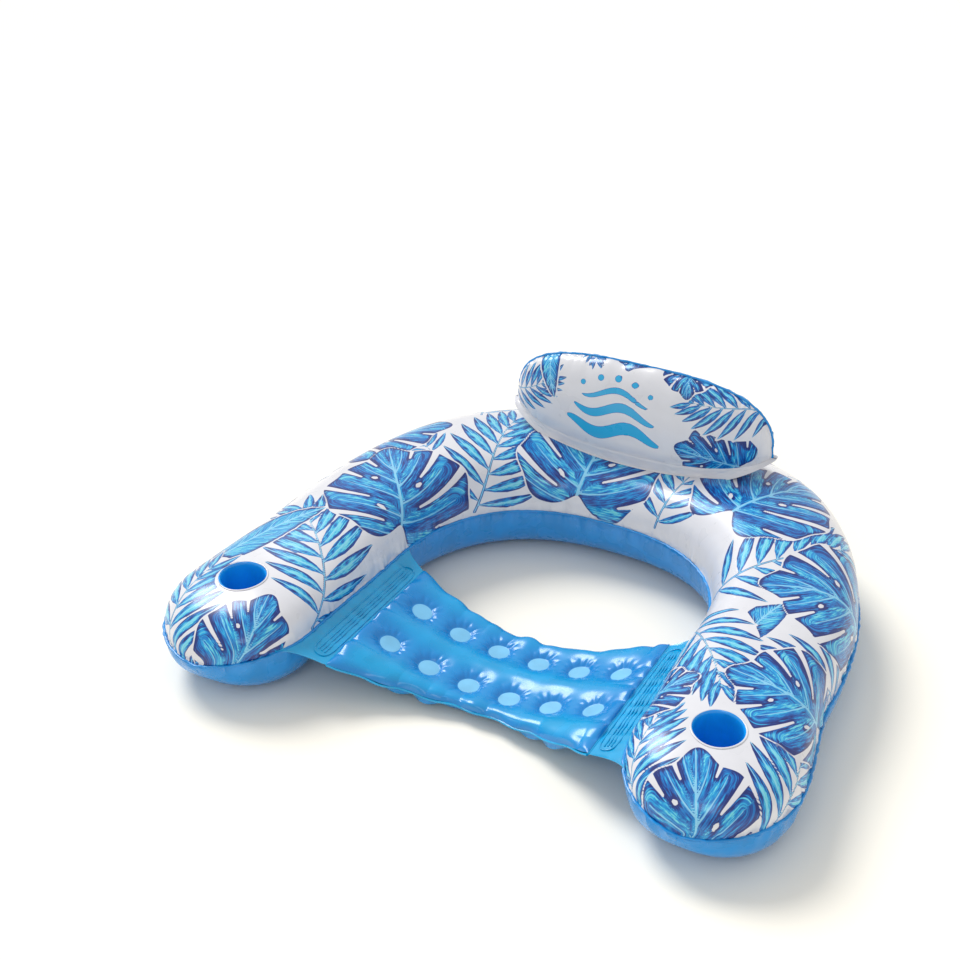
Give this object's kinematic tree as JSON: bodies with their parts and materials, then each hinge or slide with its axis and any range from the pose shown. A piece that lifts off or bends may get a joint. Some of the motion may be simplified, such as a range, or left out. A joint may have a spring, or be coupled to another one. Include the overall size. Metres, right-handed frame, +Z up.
{
  "type": "inflatable pool float",
  "caption": "Horseshoe-shaped inflatable pool float with a quilted seat sling between its arms, a backrest pillow, cup wells in the arm ends and push-in air valves.",
  "frame": {"origin": "on the ground under the middle of the float's length and width", "axes": "+X to the sitter's left arm, +Y towards the backrest, +Z up"},
  "size_m": [1.164, 1.061, 0.39],
  "materials": {
    "white_vinyl": "soft film, satin gloss",
    "blue_vinyl": "soft film, satin gloss",
    "bright_blue_vinyl": "soft film, glossy",
    "valve_vinyl": "moulded soft vinyl"
  },
  "bodies": {
    "float_body": {"top_skin": "white_vinyl", "bottom_skin": "blue_vinyl", "left_cup_wall": "blue_vinyl", "left_cup_floor": "blue_vinyl", "right_cup_wall": "blue_vinyl", "right_cup_floor": "blue_vinyl", "seat_top_skin": "bright_blue_vinyl", "seat_bottom_skin": "bright_blue_vinyl", "left_seat_strip": "bright_blue_vinyl", "right_seat_strip": "bright_blue_vinyl", "pillow_front_skin": "white_vinyl", "pillow_back_skin": "blue_vinyl", "pillow_base_band": "white_vinyl", "body_valve_flange": "valve_vinyl", "seat_valve_flange": "valve_vinyl", "pillow_valve_flange": "valve_vinyl"},
    "body_valve_stem": {"body_valve_stem": "valve_vinyl", "body_valve_strap": "valve_vinyl"},
    "body_valve_plug": {"body_valve_plug": "valve_vinyl"},
    "body_valve_flap": {"body_valve_flap": "valve_vinyl"},
    "seat_valve_stem": {"seat_valve_stem": "valve_vinyl", "seat_valve_strap": "valve_vinyl"},
    "seat_valve_plug": {"seat_valve_plug": "valve_vinyl"},
    "seat_valve_flap": {"seat_valve_flap": "valve_vinyl"},
    "pillow_valve_stem": {"pillow_valve_stem": "valve_vinyl", "pillow_valve_strap": "valve_vinyl"},
    "pillow_valve_plug": {"pillow_valve_plug": "valve_vinyl"},
    "pillow_valve_flap": {"pillow_valve_flap": "valve_vinyl"}
  },
  "joints": [
    {"name": "body_valve_pull_out", "type": "slide", "parent": "float_body", "child": "body_valve_stem", "axis": [0, 0.9735, -0.2286], "range_m": [0, 0.011]},
    {"name": "body_valve_unplug", "type": "slide", "parent": "body_valve_stem", "child": "body_valve_plug", "axis": [0, 0.9735, -0.2286], "range_m": [0, 0.009]},
    {"name": "body_valve_flap_hinge", "type": "hinge", "parent": "body_valve_stem", "child": "body_valve_flap", "pos_m": [0.0064, 0.50431, 0.06902], "axis": [0, 0.2286, 0.9735], "range_deg": [0, 55]},
    {"name": "seat_valve_pull_out", "type": "slide", "parent": "float_body", "child": "seat_valve_stem", "axis": [0.2414, 0, -0.9704], "range_m": [0, 0.011]},
    {"name": "seat_valve_unplug", "type": "slide", "parent": "seat_valve_stem", "child": "seat_valve_plug", "axis": [0.2414, 0, -0.9704], "range_m": [0, 0.009]},
    {"name": "seat_valve_flap_hinge", "type": "hinge", "parent": "seat_valve_stem", "child": "seat_valve_flap", "pos_m": [0.15406, -0.2429, 0.0461], "axis": [0.9704, 0, 0.2414], "range_deg": [0, 55]},
    {"name": "pillow_valve_pull_out", "type": "slide", "parent": "float_body", "child": "pillow_valve_stem", "axis": [-0.0645, 0.9912, 0.1159], "range_m": [0, 0.011]},
    {"name": "pillow_valve_unplug", "type": "slide", "parent": "pillow_valve_stem", "child": "pillow_valve_plug", "axis": [-0.0645, 0.9912, 0.1159], "range_m": [0, 0.009]},
    {"name": "pillow_valve_flap_hinge", "type": "hinge", "parent": "pillow_valve_stem", "child": "pillow_valve_flap", "pos_m": [-0.11256, 0.37424, 0.25711], "axis": [0.0075, -0.1156, 0.9933], "range_deg": [0, 55]}
  ]
}
